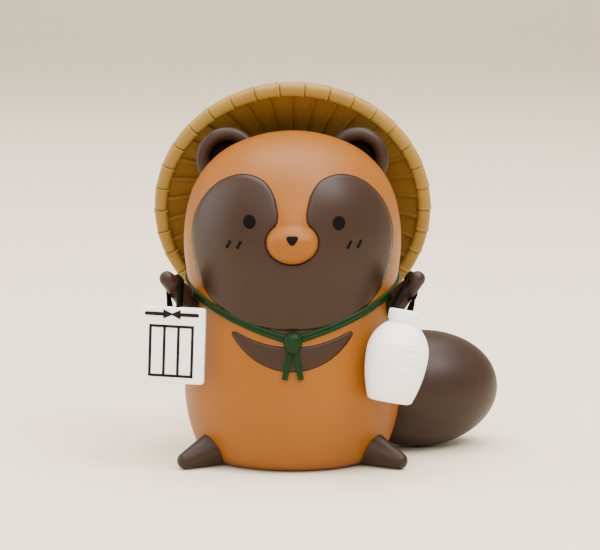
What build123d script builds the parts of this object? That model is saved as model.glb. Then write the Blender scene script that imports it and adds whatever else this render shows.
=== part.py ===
"""A palm-sized moulded and painted tanuki figure.

The figure stands on its base at the origin, faces -Y and has its own left side
towards +X. Sizes are in millimetres and angles in degrees. Angles round the body
start at the front and are the same on both sides.
"""
import math
import os

from build123d import *

os.makedirs("parts", exist_ok=True)

# Head and body: one form of revolution, drawn as arcs from the crown to the base
body_height = 59.0
body_radius = 19.5
wall = 2.0
crown_turn = 25.0
brow_radius = 15.5
brow_turn = 50.0
cheek_radius = 28.0
waist_turn = 8.0
belly_radius = 26.0
belly_turn = 24.0
base_rounding = 4.2
seam_pin_radius = 0.5
seam_pin_length = 1.5
seam_pin_drops = (23.0, 43.0)

# Fits: glued pieces, running pegs, and the gap that keeps moving faces apart
glue_gap = 0.05
peg_fit = 0.05
free_gap = 0.15

# Base plug, held between the two halves of the body
plug_margin = 1.6
plug_flange = 1.2
plug_flange_height = 1.0

# Face: heights are measured down from the crown
relief = 0.25
inlay_depth = 0.9
mask_side_margin = 1.9
mask_side_drop = 18.5
mask_brow_x = 15.4
mask_brow_drop = 11.3
mask_lobe_x = 8.4
mask_lobe_drop = 6.5
mask_strip_half = 2.55
mask_strip_drop = 11.7
mask_jaw_x = 14.0
mask_jaw_drop = 28.5
mask_chin_x = 9.5
mask_chin_drop = 31.9
mask_bottom_drop = 33.4
muzzle_width = 9.1
muzzle_height = 7.5
muzzle_drop = 17.7
muzzle_reach = 2.6
muzzle_round = 2.3
nose_width = 2.6
nose_height = 1.9
nose_rise = 0.6
nose_corner = 0.3
nose_thickness = 1.2
nose_proud = 0.35
nose_round = 0.2
eye_radius = 1.15
eye_offset = 7.7
eye_drop = 14.2
eye_proud = 0.3
eye_round = 0.25
stud_depth = 0.6
cheek_mark_offsets = (9.6, 11.35)
cheek_mark_drop = 18.4
cheek_mark_length = 1.6
cheek_mark_width = 0.45
cheek_mark_slant = 64.0
mark_proud = 0.08

# Crescent on the belly
crescent_half_width = 10.35
crescent_tip_drop = 34.3
crescent_upper_drop = 36.2
crescent_lower_drop = 40.35

# Ears
ear_radius = 5.75
ear_recess_radius = 3.35
ear_thickness = 3.4
ear_recess_depth = 1.7
ear_round = 1.1
ear_lean = 40.5
ear_inset = 7.9
ear_drop = 5.2
ear_front = 0.9
ear_peg_radius = 0.6
ear_peg_length = 3.2

# Feet
foot_angle = 56.5
foot_tip_radius = 1.5
foot_root_radius = 3.75
foot_length = 8.3
foot_reach = 3.2
foot_root_lift = 0.1
foot_tip_lift = 0.05
foot_peg_radius = 1.2
foot_peg_end = 7.3

# Tail
tail_angle = 111.0
tail_radius = 10.7
tail_half_length = 14.9
tail_stand_off = 5.6
tail_lift = 0.05
tail_peg_width = 6.0
tail_peg_height = 4.0
tail_peg_depth = 1.6

# Arms: each turns on a round peg that stands square to the body
shoulder_angle = 70.5
shoulder_drop = 30.7
arm_out = 4.65
arm_forward = 6.2
arm_rise = 6.0
arm_root_radius = 2.3
arm_tip_radius = 1.05
arm_peg_radius = 1.1
arm_peg_length = 3.4
arm_gap = 0.3
arm_cord_gap = 0.85
boss_radius = 2.2

# Straw hat worn behind the head, its opening tipped forward and down
hat_tilt = 21.0
hat_back = 7.3
hat_drop = 15.3
hat_slope = 23.5
hat_thickness = 1.3
hat_flat = 2.6
hat_tiles = 34
groove_width = 0.3
groove_depth = 0.3
rim_overhang = 4.7
rim_half_width = 1.3
rim_half_depth = 1.25
rim_step = 0.35
rim_tile_gap = 0.9
hat_peg_radius = 2.2
hat_peg_depth = 1.6

# Moulded chin cord with its knot and two ends
cord_radius = 0.55
cord_drop = 34.9
cord_rise_per_degree = 0.112
cord_sweep = 147.0
cord_lean = 4.2
cord_start = 3.0
knot_half_width = 1.65
knot_top = 1.6
knot_bottom = 2.2
knot_foot_half_width = 0.95
cord_end_radius = 0.5
cord_end_top = (0.6, 35.8)
cord_end_bottom = (1.43, 41.7)

# Ledger on its loop, over the figure's right arm
ledger_width = 11.8
ledger_height = 13.5
ledger_thickness = 1.4
ledger_corner = 0.55
ledger_edge = 0.3
ledger_angle = 57.5
ledger_out = 5.6
ledger_drop = 36.5
ledger_yaw = 8.0
ledger_roll = -2.0
binding_length = 9.7
binding_width = 0.68
binding_drop = 1.2
binding_relief = 0.15
bow_half_width = 1.5
bow_half_height = 0.82
loop_width = 1.15
loop_thickness = 0.7
loop_fit = 0.1
loop_place = 0.63
loop_sink = 0.6
ledger_loop_half_gap = 0.75
bottle_loop_half_gap = 1.8

# Sake bottle on its loop, over the figure's left arm
bottle_angle = 43.5
bottle_out = 5.05
bottle_drop = 45.85
bottle_lean_out = 9.8
bottle_lean_back = 7.7
bottle_height = 16.3
bottle_foot_radius = 3.75
bottle_radius = 5.45
bottle_belly_height = 8.5
bottle_neck_radius = 2.5
bottle_lip_radius = 2.72
bottle_lip_height = 1.9
bottle_neck_height = 0.45
bottle_foot_round = 0.7
bottle_lip_round = 0.5

cord_height = body_height - cord_drop
ear_offset = body_radius - ear_inset
rim_radius = body_radius + rim_overhang

# Arcs of the body outline as (radius, turn); the hollow waist has a negative radius
t1 = math.radians(crown_turn)
t2 = math.radians(crown_turn + brow_turn)
tw = math.radians(waist_turn)
tb = math.radians(belly_turn)
crown_radius = (
    body_radius - brow_radius * (math.sin(t2) - math.sin(t1)) - cheek_radius * (1 - math.sin(t2))
) / math.sin(t1)
head_height = (
    crown_radius * (1 - math.cos(t1))
    + brow_radius * (math.cos(t1) - math.cos(t2))
    + cheek_radius * (math.cos(t2) + math.sin(tw))
)
foot_height = belly_radius * (math.sin(tw) + math.sin(tb)) + base_rounding * (1 - math.sin(tb))
waist_radius = (body_height - head_height - foot_height) / (2 * math.sin(tw))
body_arcs = [
    (crown_radius, crown_turn),
    (brow_radius, brow_turn),
    (cheek_radius, 90 - crown_turn - brow_turn + waist_turn),
    (-waist_radius, 2 * waist_turn),
    (belly_radius, waist_turn + belly_turn),
    (base_rounding, 90 - belly_turn),
]


def skin(height):
    """Radius of the body at a height, and how far its surface leans upwards there."""
    x, z, heading = 0.0, body_height, 0.0
    for radius, turn in body_arcs:
        size = abs(radius)
        bend = math.copysign(1, radius)
        cx = x + bend * size * math.sin(heading)
        cz = z - bend * size * math.cos(heading)
        heading -= bend * math.radians(turn)
        x = cx - bend * size * math.sin(heading)
        z = cz + bend * size * math.cos(heading)
        if height >= z - 1e-6:
            lean = math.asin(bend * (height - cz) / size)
            return cx + bend * size * math.cos(lean), math.degrees(lean)
    return x, -90.0


def skin_plane(side, angle, height):
    """Plane on the body surface with its normal pointing out and its y axis upwards."""
    radius, lean = skin(height)
    turn = math.radians(angle)
    tilt = math.radians(lean)
    out = Vector(side * math.sin(turn), -math.cos(turn), 0)
    normal = out * math.cos(tilt) + Vector(0, 0, math.sin(tilt))
    across = Vector(0, 0, 1).cross(out)
    return Plane(origin=out * radius + Vector(0, 0, height), x_dir=across, z_dir=normal)


def angle_at(offset, height):
    """Angle round the body of a point that lies a given distance beside the middle plane."""
    return math.degrees(math.asin(offset / skin(height)[0]))


def body_form(inset):
    """The head and body as a solid, moved inwards by an inset."""
    with BuildPart() as form:
        with BuildSketch(Plane.XZ):
            with BuildLine():
                point, heading = Vector(0, body_height - inset), Vector(1, 0)
                for radius, turn in body_arcs:
                    size = abs(radius) - math.copysign(1, radius) * inset
                    arc = JernArc(point, heading, size, -math.copysign(turn, radius))
                    point, heading = arc @ 1, arc % 1
                Polyline(point, (0, inset), (0, body_height - inset))
            make_face()
        revolve(axis=Axis.Z)
    return form.part


def limb_form(start, end, root_radius, tip_radius, overlap):
    """A tapered limb with a round tip, turned about the line from start to end."""
    length = (end - start).length
    taper = math.atan2(root_radius, length) - math.asin(tip_radius / math.hypot(length, root_radius))
    touch = (length + tip_radius * math.sin(taper), tip_radius * math.cos(taper))
    half = (math.pi / 2 - taper) / 2
    along = (end - start).normalized()
    with BuildPart() as limb:
        with BuildSketch(Plane(origin=start, x_dir=along, z_dir=along.cross(Vector(0, 0, 1)))):
            with BuildLine():
                Polyline((-overlap, 0), (-overlap, root_radius + overlap * math.tan(taper)), touch)
                ThreePointArc(
                    touch,
                    (length + tip_radius * math.cos(half), tip_radius * math.sin(half)),
                    (length + tip_radius, 0),
                )
                Line((length + tip_radius, 0), (-overlap, 0))
            make_face()
        revolve(axis=Axis(start, along))
    return limb.part


def beside_body(side, angle, out, height):
    """Point at an angle round the body, a given distance outside its widest circle."""
    turn = math.radians(angle)
    reach = body_radius + out
    return Vector(side * reach * math.sin(turn), -reach * math.cos(turn), height)


def shoulder(side):
    """Plane square to an arm's peg, at the body surface, and the arm's tip."""
    height = body_height - shoulder_drop
    radius = skin(height)[0]
    turn = math.radians(shoulder_angle)
    out = Vector(side * math.sin(turn), -math.cos(turn), 0)
    root = out * radius + Vector(0, 0, height)
    tip = root + Vector(side * arm_out, -arm_forward, arm_rise)
    return Plane(origin=root, x_dir=(0, 0, 1), z_dir=out), tip


def cord_form(radius):
    """The left strand of the chin cord, wound up the side of the head."""
    with BuildPart() as strand:
        with BuildLine() as path:
            Helix(
                pitch=360 * cord_rise_per_degree,
                height=cord_rise_per_degree * cord_sweep,
                radius=skin(cord_height)[0] + cord_radius + free_gap,
                center=(0, 0, cord_height + cord_rise_per_degree * cord_start),
                cone_angle=cord_lean,
            )
        with BuildSketch(Plane(origin=path.line @ 0, z_dir=path.line % 0)):
            Circle(radius)
        sweep()
    with BuildPart() as placed:
        add(strand.part, rotation=(0, 0, cord_start - 90))
    return placed.part


def foot_line(side):
    """Start, inside the body, and end of a foot's middle line."""
    turn = math.radians(foot_angle)
    out = Vector(side * math.sin(turn), -math.cos(turn), 0)
    reach = body_radius + foot_reach
    end = out * reach + Vector(0, 0, foot_tip_radius + foot_tip_lift)
    start = out * (reach - foot_length) + Vector(0, 0, foot_root_radius + foot_root_lift)
    return start, end


def mask_face(grow):
    """Outline of the face mask, seen from the front, grown by a clearance."""
    top = body_height
    with BuildSketch(Plane.XZ) as outline:
        with BuildLine():
            point, heading = Vector(0, top - mask_bottom_drop), Vector(1, 0)
            for beside, drop in (
                (mask_chin_x, mask_chin_drop),
                (mask_jaw_x, mask_jaw_drop),
                (body_radius - mask_side_margin, mask_side_drop),
                (mask_brow_x, mask_brow_drop),
                (mask_lobe_x, mask_lobe_drop),
                (mask_strip_half, mask_strip_drop),
            ):
                arc = TangentArc(point, (beside, top - drop), tangent=heading)
                point, heading = arc @ 1, arc % 1
            Polyline(
                point,
                (mask_strip_half, top - muzzle_drop),
                (0, top - muzzle_drop),
                (0, top - mask_bottom_drop),
            )
        make_face()
        mirror(about=Plane.YZ)
        if grow > 0:
            offset(amount=grow, kind=Kind.ARC)
    return outline.sketch


def crescent_face(grow):
    """Outline of the belly crescent, seen from the front, grown by a clearance."""
    tip = body_height - crescent_tip_drop
    with BuildSketch(Plane.XZ) as outline:
        with BuildLine():
            for drop in (crescent_lower_drop, crescent_upper_drop):
                ThreePointArc(
                    (-crescent_half_width, tip), (0, body_height - drop), (crescent_half_width, tip)
                )
        make_face()
        fillet(outline.vertices(), radius=0.4)
        if grow > 0:
            offset(amount=grow, kind=Kind.ARC)
    return outline.sketch


body_outer = body_form(0)
body_cavity = body_form(wall)
body_clear = body_form(-glue_gap)
inlay_top = body_form(-relief)
inlay_floor = body_form(inlay_depth)
pocket_floor = body_form(inlay_depth + glue_gap)

# Places and planes shared by a piece and by what holds it
base_flat = skin(-1)[0]
plug_radius = base_flat - plug_margin
muzzle_top = body_height - muzzle_drop
muzzle_front = skin(muzzle_top)[0] + muzzle_reach
muzzle_plane = Plane(
    origin=(0, wall + muzzle_reach - muzzle_front, muzzle_top), x_dir=(1, 0, 0), z_dir=(0, -1, 0)
)
nose_plane = Plane(
    origin=(0, nose_thickness - nose_proud - muzzle_front, muzzle_top + nose_rise),
    x_dir=(1, 0, 0),
    z_dir=(0, -1, 0),
)
tail_turn = math.radians(tail_angle)
tail_out = Vector(math.sin(tail_turn), -math.cos(tail_turn), 0)
tail_height = tail_radius + tail_lift
tail_center = tail_out * (body_radius + tail_stand_off) + Vector(0, 0, tail_height)
tail_seat = Plane(
    origin=tail_out * skin(tail_height)[0] + Vector(0, 0, tail_height), x_dir=(0, 0, 1), z_dir=tail_out
)
hat_turn = math.radians(hat_tilt)
hat_axis = Vector(0, math.cos(hat_turn), math.sin(hat_turn))
hat_center = Vector(0, body_radius - hat_back, body_height - hat_drop)
hat_plane = Plane(origin=hat_center, x_dir=(1, 0, 0), z_dir=hat_axis)
hat_section = Plane(origin=hat_center, x_dir=(1, 0, 0), z_dir=Vector(1, 0, 0).cross(hat_axis))
hat_edge = rim_radius - rim_half_width - 2 * glue_gap
hat_rise = math.tan(math.radians(hat_slope))
hat_skin = hat_thickness / math.cos(math.radians(hat_slope))


def hat_seat():
    """Distance along the hat's axis at which it leaves the back of the head."""
    near, far = 0.0, body_radius
    for _ in range(40):
        middle = (near + far) / 2
        point = hat_center + hat_axis * middle
        if point.Y < skin(point.Z)[0]:
            near = middle
        else:
            far = middle
    return near


def nose_face(grow):
    """Rounded triangle of the nose, point downwards."""
    with BuildSketch(nose_plane) as outline:
        with BuildLine():
            Polyline(
                (-nose_width / 2, nose_height / 2),
                (0, -nose_height / 2),
                (nose_width / 2, nose_height / 2),
                close=True,
            )
        make_face()
        fillet(outline.vertices(), radius=nose_corner)
        if grow > 0:
            offset(amount=grow, kind=Kind.ARC)
    return outline.sketch


def eye_plane(side):
    """Plane on the mask under an eye."""
    height = body_height - eye_drop
    return skin_plane(side, angle_at(eye_offset, height), height).offset(relief)


def mark_plane(side, beside):
    """Plane on the mask under a cheek mark."""
    height = body_height - cheek_mark_drop
    return skin_plane(side, angle_at(beside, height), height).offset(relief)


def ear_plane(side):
    """Plane on the front of an ear, facing backwards into it."""
    return Plane(
        origin=(side * ear_offset, ear_front, body_height - ear_drop), x_dir=(1, 0, 0), z_dir=(0, 1, 0)
    )


def ear_peg_plane(side):
    """Plane at the outer end of an ear's peg, its normal leading into the head."""
    turn = math.radians(ear_lean)
    inward = Vector(-side * math.sin(turn), 0, -math.cos(turn))
    middle = (ear_recess_depth + ear_thickness) / 2
    start = ear_plane(side).origin + Vector(0, middle, 0) - inward * ear_recess_radius
    return Plane(origin=start, x_dir=(0, 1, 0), z_dir=inward)


def loop_form(side, end, half_gap):
    """A band round an arm, with two strands that run to an end point below it."""
    root, tip = shoulder(side)
    along = (tip - root.origin).normalized()
    length = (tip - root.origin).length
    middle = root.origin + along * (length * loop_place)
    away = (middle - end).normalized()
    taper = (arm_root_radius - arm_tip_radius) / length
    arm_radius = arm_root_radius - taper * (length * loop_place - loop_width / 2)
    bend = arm_radius / away.cross(along).length + loop_fit + loop_thickness / 2
    across = away.cross(along).normalized()
    reach = (middle - end).length
    spread = math.hypot(reach, half_gap)
    turn = math.atan2(-reach, half_gap) + math.acos(bend / spread)
    touch = (bend * math.cos(turn), bend * math.sin(turn))
    plane = Plane(origin=middle, x_dir=across, z_dir=across.cross(away))
    with BuildPart() as loop:
        with BuildLine(plane) as path:
            Line((half_gap, -reach), touch)
            ThreePointArc(touch, (0, bend), (-touch[0], touch[1]))
            Line((-touch[0], touch[1]), (-half_gap, -reach))
        with BuildSketch(Plane(origin=path.line @ 0, x_dir=plane.z_dir, z_dir=path.line % 0)):
            RectangleRounded(loop_width, loop_thickness, loop_thickness * 0.4)
        sweep()
    return loop.part


hat_seat_depth = hat_seat()

# Room round the chin cord that the arms leave free as they turn
cord_room = {1: cord_form(cord_radius + arm_cord_gap)}
cord_room[-1] = mirror(cord_room[1], about=Plane.YZ)

# Cutters for the two inlays and the nose
with BuildPart() as mask_pocket:
    extrude(mask_face(glue_gap), amount=2 * body_radius)
    add(pocket_floor, mode=Mode.SUBTRACT)
with BuildPart() as crescent_pocket:
    extrude(crescent_face(glue_gap), amount=2 * body_radius)
    add(pocket_floor, mode=Mode.SUBTRACT)
with BuildPart() as nose_pocket:
    extrude(nose_face(glue_gap), amount=muzzle_height)
    extrude(nose_face(glue_gap), amount=-glue_gap)

# Muzzle: an oval boss with a well-rounded front, moulded with the front half
with BuildPart() as muzzle:
    with BuildSketch(muzzle_plane):
        Ellipse(muzzle_width / 2, muzzle_height / 2)
    extrude(amount=muzzle_reach + wall)
    fillet(muzzle.faces().sort_by(Axis.Y)[0].edges(), radius=muzzle_round)

# Front half of the body, with the muzzle, and sockets for all that is fixed to it
with BuildPart() as body_front:
    add(body_outer)
    add(mask_pocket.part, mode=Mode.SUBTRACT)
    add(crescent_pocket.part, mode=Mode.SUBTRACT)
    add(muzzle.part)
    add(nose_pocket.part, mode=Mode.SUBTRACT)
    add(body_cavity, mode=Mode.SUBTRACT)
    split(bisect_by=Plane.XZ, keep=Keep.TOP)
    with BuildSketch(Plane.XY):
        Circle(plug_radius + glue_gap)
    extrude(amount=wall + glue_gap, mode=Mode.SUBTRACT)
    for side in (-1, 1):
        socket = shoulder(side)[0]
        with BuildSketch(socket.offset(-wall / 2)):
            Circle(boss_radius)
        extrude(amount=wall / 2 - arm_peg_length - 1)
        with BuildSketch(socket.offset(1)):
            Circle(arm_peg_radius + peg_fit)
        extrude(amount=-1 - arm_peg_length - free_gap, mode=Mode.SUBTRACT)
        start, end = foot_line(side)
        with BuildSketch(Plane(origin=end, z_dir=start - end)):
            Circle(foot_peg_radius + glue_gap)
        extrude(amount=foot_peg_end + glue_gap, mode=Mode.SUBTRACT)
        for drop in seam_pin_drops:
            height = body_height - drop
            with BuildSketch(Plane.XZ):
                with Locations((side * (skin(height)[0] - wall / 2), height)):
                    Circle(seam_pin_radius + peg_fit)
            extrude(amount=seam_pin_length + free_gap, mode=Mode.SUBTRACT)
body_front.part.label = "body_front"
export_step(body_front.part, "parts/body_front.step")

# Back half of the body, with seam pins and the sockets for hat, ears and tail
with BuildPart() as body_back:
    add(body_outer)
    add(body_cavity, mode=Mode.SUBTRACT)
    split(bisect_by=Plane.XZ, keep=Keep.BOTTOM)
    with BuildSketch(Plane.XY):
        Circle(plug_radius + glue_gap)
    extrude(amount=wall + glue_gap, mode=Mode.SUBTRACT)
    for side in (-1, 1):
        for drop in seam_pin_drops:
            height = body_height - drop
            with BuildSketch(Plane.XZ):
                with Locations((side * (skin(height)[0] - wall / 2), height)):
                    Circle(seam_pin_radius)
            extrude(amount=seam_pin_length)
        with BuildSketch(ear_peg_plane(side)):
            Circle(ear_peg_radius + glue_gap)
        extrude(amount=ear_peg_length + glue_gap, mode=Mode.SUBTRACT)
    with BuildSketch(tail_seat.offset(wall)):
        Rectangle(tail_peg_height + 2 * glue_gap, tail_peg_width + 2 * glue_gap)
    extrude(amount=-wall - tail_peg_depth - glue_gap, mode=Mode.SUBTRACT)
    with BuildSketch(hat_plane.offset(hat_seat_depth + wall)):
        Circle(hat_peg_radius + glue_gap)
    extrude(amount=-wall - hat_peg_depth - glue_gap, mode=Mode.SUBTRACT)
body_back.part.label = "body_back"
export_step(body_back.part, "parts/body_back.step")

# Plug that closes the base; its flange lies inside the body
with BuildPart() as base_plug:
    with BuildSketch():
        Circle(plug_radius)
    extrude(amount=wall + glue_gap)
    with BuildSketch(Plane.XY.offset(wall + glue_gap)):
        Circle(plug_radius + plug_flange)
    extrude(amount=plug_flange_height)
base_plug.part.label = "base_plug"
export_step(base_plug.part, "parts/base_plug.step")

# Dark mask let into the face, with sockets for the eyes and cheek marks
with BuildPart() as face_mask:
    extrude(mask_face(0), amount=2 * body_radius)
    add(inlay_top, mode=Mode.INTERSECT)
    add(inlay_floor, mode=Mode.SUBTRACT)
    with BuildSketch(muzzle_plane):
        Ellipse(muzzle_width / 2 + glue_gap, muzzle_height / 2 + glue_gap)
    extrude(amount=muzzle_reach + 2 * wall, mode=Mode.SUBTRACT)
    for side in (-1, 1):
        with BuildSketch(eye_plane(side).offset(1)):
            Circle(eye_radius + glue_gap)
        extrude(amount=-1 - stud_depth - glue_gap, mode=Mode.SUBTRACT)
        for beside in cheek_mark_offsets:
            with BuildSketch(mark_plane(side, beside).offset(1)):
                SlotOverall(
                    cheek_mark_length + 2 * glue_gap,
                    cheek_mark_width + 2 * glue_gap,
                    rotation=cheek_mark_slant,
                )
            extrude(amount=-1 - stud_depth - glue_gap, mode=Mode.SUBTRACT)
face_mask.part.label = "face_mask"
export_step(face_mask.part, "parts/face_mask.step")

# Crescent let into the belly
with BuildPart() as belly_crescent:
    extrude(crescent_face(0), amount=2 * body_radius)
    add(inlay_top, mode=Mode.INTERSECT)
    add(inlay_floor, mode=Mode.SUBTRACT)
belly_crescent.part.label = "belly_crescent"
export_step(belly_crescent.part, "parts/belly_crescent.step")

# Nose
with BuildPart() as nose:
    extrude(nose_face(0), amount=nose_thickness)
    fillet(nose.faces().sort_by(Axis.Y)[0].edges(), radius=nose_round)
nose.part.label = "nose"
export_step(nose.part, "parts/nose.step")

for side, name in ((-1, "right"), (1, "left")):
    # Eye: a round stud with a domed edge
    seat = eye_plane(side)
    with BuildPart() as eye:
        with BuildSketch(seat.offset(-stud_depth)):
            Circle(eye_radius)
        extrude(amount=stud_depth + eye_proud)
        fillet(eye.faces().sort_by(Axis(seat.origin, seat.z_dir))[-1].edges(), radius=eye_round)
    eye.part.label = name + "_eye"
    export_step(eye.part, "parts/" + name + "_eye.step")

    # Two slanting dashes on the cheek
    with BuildPart() as cheek_marks:
        for beside in cheek_mark_offsets:
            with BuildSketch(mark_plane(side, beside).offset(-stud_depth)):
                SlotOverall(cheek_mark_length, cheek_mark_width, rotation=cheek_mark_slant)
            extrude(amount=stud_depth + mark_proud)
    cheek_marks.part.label = name + "_cheek_marks"
    export_step(cheek_marks.part, "parts/" + name + "_cheek_marks.step")

    # Ear: a thick round disc with a hollow front, cut to sit on the head
    with BuildPart() as ear:
        front = ear_plane(side)
        with BuildSketch(Plane(origin=front.origin, x_dir=(1, 0, 0), z_dir=(0, 0, 1))) as section:
            with BuildLine():
                Polyline(
                    (0, ear_recess_depth),
                    (ear_recess_radius, ear_recess_depth),
                    (ear_recess_radius, 0),
                    (ear_radius, 0),
                    (ear_radius, ear_thickness),
                    (0, ear_thickness),
                    close=True,
                )
            make_face()
            fillet(section.vertices().group_by(Axis.X)[-1], radius=ear_round)
        revolve(axis=Axis(front.origin, front.z_dir))
        add(body_clear, mode=Mode.SUBTRACT)
        with BuildSketch(ear_peg_plane(side)):
            Circle(ear_peg_radius)
        extrude(amount=ear_peg_length)
    ear.part.label = name + "_ear"
    export_step(ear.part, "parts/" + name + "_ear.step")

    # Foot: a tapered stub cut to the body, with a peg
    start, end = foot_line(side)
    foot_form = limb_form(start, end, foot_root_radius, foot_tip_radius, 0)
    with BuildPart() as foot:
        add(foot_form)
        add(body_clear, mode=Mode.SUBTRACT)
        with BuildSketch(Plane(origin=end, z_dir=start - end)):
            Circle(foot_peg_radius)
        extrude(amount=foot_peg_end)
    foot.part.label = name + "_foot"
    export_step(foot.part, "parts/" + name + "_foot.step")

    # Arm: a tapered stub cut square to its peg, clear of the body and of the chin cord
    socket, tip = shoulder(side)
    arm_form = limb_form(socket.origin, tip, arm_root_radius, arm_tip_radius, 2 * arm_root_radius)
    with BuildPart() as arm:
        add(arm_form)
        split(bisect_by=socket.offset(arm_gap), keep=Keep.TOP)
        add(cord_room[side], mode=Mode.SUBTRACT)
        with BuildSketch(socket.offset(arm_gap)):
            Circle(arm_peg_radius)
        extrude(amount=-arm_gap - arm_peg_length)
    arm.part.label = name + "_arm"
    export_step(arm.part, "parts/" + name + "_arm.step")

# Chin cord: a round moulded strand on each side, from the knot up to the hat
with BuildPart() as left_chin_cord:
    add(cord_form(cord_radius))
left_chin_cord.part.label = "left_chin_cord"
export_step(left_chin_cord.part, "parts/left_chin_cord.step")
with BuildPart() as right_chin_cord:
    add(mirror(left_chin_cord.part, about=Plane.YZ, mode=Mode.PRIVATE))
right_chin_cord.part.label = "right_chin_cord"
export_step(right_chin_cord.part, "parts/right_chin_cord.step")

# Tail: an egg lying on its side, cut to the body, with a flat-sided peg
with BuildPart() as tail:
    with BuildSketch(Plane(origin=tail_center, x_dir=tail_out, z_dir=tail_out.cross(Vector(0, 0, 1)))):
        Ellipse(tail_half_length, tail_radius)
        with Locations((0, -tail_radius)):
            Rectangle(4 * tail_half_length, 2 * tail_radius, mode=Mode.SUBTRACT)
    revolve(axis=Axis(tail_center, tail_out))
    add(body_clear, rotation=(0, 0, 180), mode=Mode.SUBTRACT)
    with BuildSketch(tail_seat.offset(wall)):
        Rectangle(tail_peg_height, tail_peg_width)
    extrude(amount=-wall - tail_peg_depth)
tail.part.label = "tail"
export_step(tail.part, "parts/tail.step")

# Groove between two plates of the hat, and one tile of its rim, both at angle zero
with BuildPart() as plate_groove:
    with BuildSketch(Plane.XZ) as strip:
        with BuildLine():
            Polyline(
                (hat_flat, (hat_edge - hat_flat) * hat_rise + groove_depth),
                (hat_edge + 1, -hat_rise + groove_depth),
                (hat_edge + 1, -hat_rise - 1),
                (hat_flat, (hat_edge - hat_flat) * hat_rise - 1),
                close=True,
            )
        make_face()
    extrude(amount=groove_width / 2, both=True)
with BuildPart() as rim_tile:
    with BuildSketch(Plane.XZ):
        with Locations((rim_radius, 0)):
            Ellipse(rim_half_width, rim_half_depth)
    revolve(axis=Axis.Z, revolution_arc=360 / hat_tiles - rim_tile_gap)

# Hat crown: a wide cone of plates, with a peg into the back of the head
with BuildPart(hat_plane) as hat_crown:
    with BuildSketch(hat_section):
        with BuildLine():
            Polyline(
                (0, (hat_edge - hat_flat) * hat_rise),
                (hat_flat, (hat_edge - hat_flat) * hat_rise),
                (hat_edge, 0),
                (hat_edge, hat_skin),
                (hat_flat, (hat_edge - hat_flat) * hat_rise + hat_skin),
                (0, (hat_edge - hat_flat) * hat_rise + hat_skin),
                close=True,
            )
        make_face()
    revolve(axis=Axis(hat_center, hat_axis))
    with PolarLocations(0, hat_tiles, start_angle=90):
        add(plate_groove.part, mode=Mode.SUBTRACT)
        add(plate_groove.part.moved(Location((0, 0, hat_skin))), mode=Mode.SUBTRACT)
    with BuildSketch(hat_plane.offset(hat_seat_depth - hat_peg_depth)):
        Circle(hat_peg_radius)
    extrude(amount=(hat_edge - hat_flat) * hat_rise - hat_seat_depth + hat_peg_depth)
hat_crown.part.label = "hat_crown"
export_step(hat_crown.part, "parts/hat_crown.step")

# Hat rim: a ring of rounded tiles on a plain core
with BuildPart(hat_plane) as hat_rim:
    with BuildSketch(hat_section):
        with Locations((rim_radius, 0)):
            Ellipse(rim_half_width - rim_step, rim_half_depth - rim_step)
    revolve(axis=Axis(hat_center, hat_axis))
    with PolarLocations(0, hat_tiles, start_angle=90 - (360 / hat_tiles - rim_tile_gap) / 2):
        add(rim_tile.part)
hat_rim.part.label = "hat_rim"
export_step(hat_rim.part, "parts/hat_rim.step")

# Knot under the chin and its two hanging ends
knot_out = skin(cord_height)[0] + relief + free_gap + knot_half_width
with BuildPart() as cord_knot:
    with BuildSketch(Plane.XZ.offset(knot_out)):
        with BuildLine():
            cap = ThreePointArc(
                (0, cord_height + knot_top),
                (knot_half_width * 0.75, cord_height + knot_top * 0.62),
                (knot_half_width, cord_height),
            )
            flank = TangentArc(cap @ 1, (knot_foot_half_width, cord_height - knot_bottom), tangent=cap % 1)
            Polyline(flank @ 1, (0, cord_height - knot_bottom), cap @ 0)
        make_face()
    revolve(axis=Axis((0, -knot_out, 0), (0, 0, 1)))
    for side in (-1, 1):
        top = Vector(side * cord_end_top[0], -knot_out, body_height - cord_end_top[1])
        low_height = body_height - cord_end_bottom[1]
        low_out = skin(low_height)[0] + relief + free_gap + cord_end_radius
        low = Vector(side * cord_end_bottom[0], -low_out, low_height)
        with BuildSketch(Plane(origin=top, z_dir=low - top)):
            Circle(cord_end_radius)
        extrude(amount=(low - top).length)
    add(left_chin_cord.part, mode=Mode.SUBTRACT)
    add(right_chin_cord.part, mode=Mode.SUBTRACT)
cord_knot.part.label = "cord_knot"
export_step(cord_knot.part, "parts/cord_knot.step")

# Ledger: a thin tablet that hangs beside the body, turned a little outwards
yaw = math.radians(ledger_yaw)
roll = math.radians(ledger_roll)
ledger_plane = Plane(
    origin=beside_body(-1, ledger_angle, ledger_out, body_height - ledger_drop),
    x_dir=(math.cos(roll) * math.cos(yaw), -math.cos(roll) * math.sin(yaw), math.sin(roll)),
    z_dir=(-math.sin(yaw), -math.cos(yaw), 0),
)
with BuildPart() as ledger:
    with BuildSketch(ledger_plane):
        RectangleRounded(ledger_width, ledger_height, ledger_corner)
    extrude(amount=ledger_thickness / 2, both=True)
    fillet(ledger.faces().filter_by(ledger_plane).edges(), radius=ledger_edge)
ledger.part.label = "ledger"
export_step(ledger.part, "parts/ledger.step")

# Raised binding line with a bow, along the ledger's upper edge
with BuildPart() as ledger_binding:
    with BuildSketch(ledger_plane.offset(ledger_thickness / 2)):
        with Locations((0, ledger_height / 2 - binding_drop)):
            SlotOverall(binding_length, binding_width)
            for turn in (0, 180):
                Polygon(
                    (0, 0),
                    (bow_half_width, bow_half_height),
                    (bow_half_width, -bow_half_height),
                    rotation=turn,
                    align=None,
                )
    extrude(amount=binding_relief)
ledger_binding.part.label = "ledger_binding"
export_step(ledger_binding.part, "parts/ledger_binding.step")

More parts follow.
